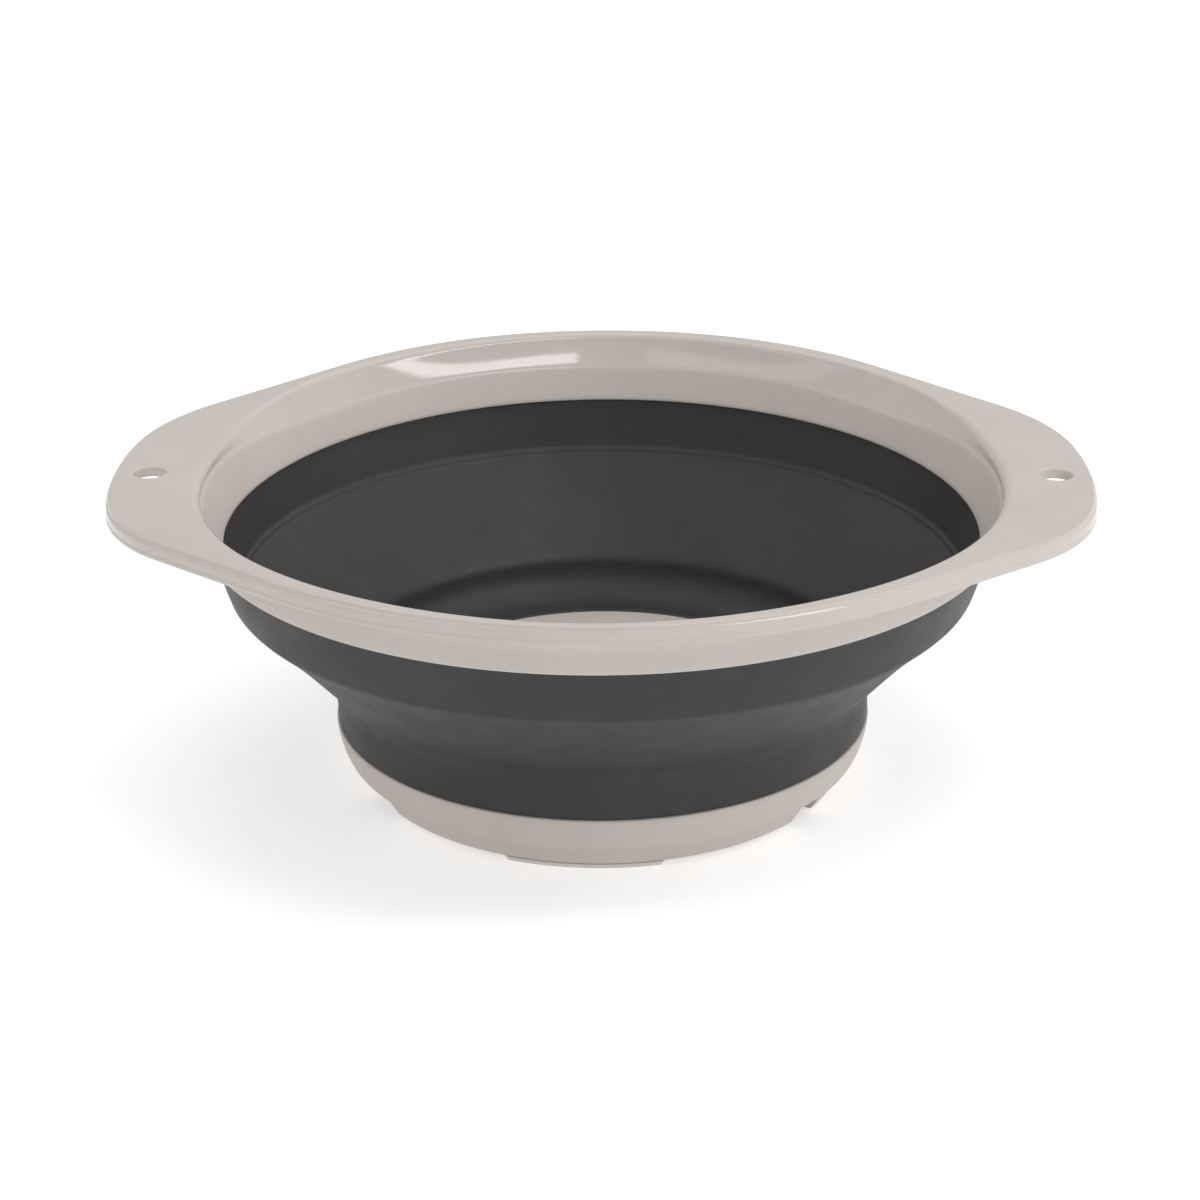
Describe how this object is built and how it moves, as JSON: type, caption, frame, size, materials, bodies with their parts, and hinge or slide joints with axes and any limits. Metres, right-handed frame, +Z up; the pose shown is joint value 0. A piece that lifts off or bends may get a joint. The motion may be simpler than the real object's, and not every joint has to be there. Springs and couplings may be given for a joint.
{
  "type": "collapsible washing up bowl",
  "caption": "Round washing-up bowl that presses flat: stiff rim with side handles and hanging holes, soft folding wall, stiff base on padded feet.",
  "frame": {"origin": "centre of the circle that the feet stand on, at the surface they stand on", "axes": "+X along the line of the two handles, +Y to the back, +Z up"},
  "size_m": [0.366, 0.324, 0.1243],
  "materials": {
    "stiff_plastic": "satin, warm pale grey",
    "soft_wall": "matt dark grey soft plastic",
    "soft_pad": "matt pale soft plastic"
  },
  "bodies": {
    "base": {"base": "stiff_plastic", "lower_wall": "soft_wall", "folding_wall": "soft_wall", "foot_pad_front": "soft_pad", "foot_pad_right": "soft_pad", "foot_pad_left": "soft_pad"},
    "rim": {"rim": "stiff_plastic", "upper_wall": "soft_wall"}
  },
  "joints": [
    {"name": "collapse", "type": "slide", "parent": "base", "child": "rim", "axis": [0, 0, 1], "range_m": [-0.072, 0], "deforming": ["folding_wall"]}
  ]
}
